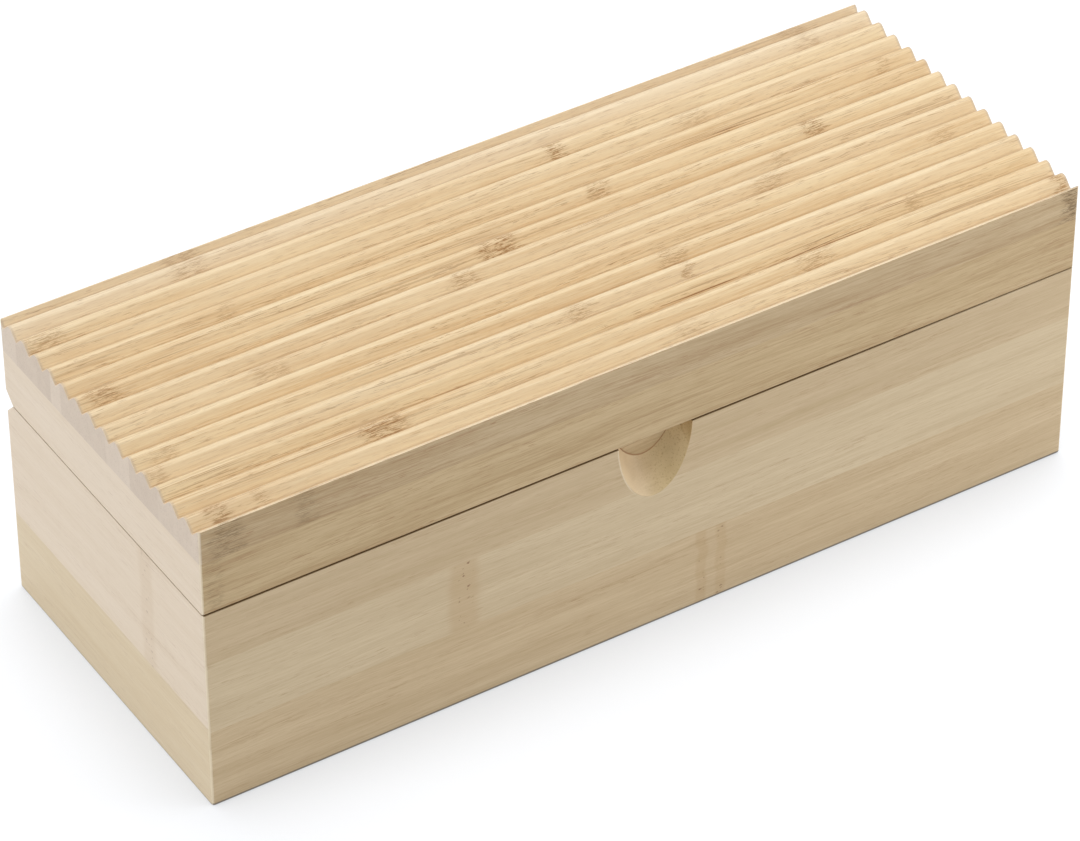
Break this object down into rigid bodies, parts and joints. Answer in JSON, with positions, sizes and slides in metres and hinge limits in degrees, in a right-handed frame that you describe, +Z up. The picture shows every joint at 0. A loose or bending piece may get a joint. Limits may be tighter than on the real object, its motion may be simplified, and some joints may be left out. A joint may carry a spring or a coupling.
{
  "type": "bread box",
  "caption": "Long bamboo bread box with a ribbed, rear-hinged lid, mitred walls, a finger scoop in the front rim and a V-shaped rear seam with butt hinges.",
  "frame": {"origin": "centre of the underside of the box", "axes": "+X along the box to the right as seen from the front, -Y towards the front with the finger scoop, +Z up"},
  "size_m": [0.36, 0.139, 0.121],
  "materials": {
    "ribbed_bamboo": "satin, warm honey side-pressed bamboo, every rib its own tone",
    "lid_bamboo": "satin bamboo, grain along each rail",
    "body_bamboo": "satin bamboo, wide glued strips with node marks",
    "inner_bamboo": "plain sanded bamboo",
    "panel_bamboo": "plain sanded bamboo board",
    "hinge_brass": "satin",
    "screw_brass": "satin"
  },
  "bodies": {
    "body": {"body_front_wall_lower_strip": "body_bamboo", "body_front_wall_middle_strip": "body_bamboo", "body_front_wall_upper_strip": "body_bamboo", "body_rear_wall_lower_strip": "body_bamboo", "body_rear_wall_middle_strip": "body_bamboo", "body_rear_wall_upper_strip": "body_bamboo", "body_left_wall_lower_strip": "body_bamboo", "body_left_wall_upper_strip": "body_bamboo", "body_right_wall_lower_strip": "body_bamboo", "body_right_wall_upper_strip": "body_bamboo", "body_bottom_panel": "panel_bamboo", "locating_strip_front": "inner_bamboo", "locating_strip_rear": "inner_bamboo", "locating_strip_left": "inner_bamboo", "locating_strip_right": "inner_bamboo", "hinge_left_body_leaf": "hinge_brass", "hinge_right_body_leaf": "hinge_brass", "hinge_left_pin": "hinge_brass", "hinge_right_pin": "hinge_brass", "hinge_screws_body": "screw_brass"},
    "lid": {"lid_front_rail": "lid_bamboo", "lid_rear_rail": "lid_bamboo", "lid_left_rail": "lid_bamboo", "lid_right_rail": "lid_bamboo", "lid_rib_strip_01": "ribbed_bamboo", "lid_rib_strip_02": "ribbed_bamboo", "lid_rib_strip_03": "ribbed_bamboo", "lid_rib_strip_04": "ribbed_bamboo", "lid_rib_strip_05": "ribbed_bamboo", "lid_rib_strip_06": "ribbed_bamboo", "lid_rib_strip_07": "ribbed_bamboo", "lid_rib_strip_08": "ribbed_bamboo", "lid_rib_strip_09": "ribbed_bamboo", "lid_rib_strip_10": "ribbed_bamboo", "lid_rib_strip_11": "ribbed_bamboo", "lid_rib_strip_12": "ribbed_bamboo", "lid_rib_strip_13": "ribbed_bamboo", "lid_rib_strip_14": "ribbed_bamboo", "lid_rib_strip_15": "ribbed_bamboo", "hinge_left_lid_leaf": "hinge_brass", "hinge_right_lid_leaf": "hinge_brass", "hinge_screws_lid": "screw_brass"}
  },
  "joints": [
    {"name": "lid_hinge", "type": "hinge", "parent": "body", "child": "lid", "pos_m": [0, 0.065, 0.0853], "axis": [-1, 0, 0], "range_deg": [0, 100]}
  ]
}
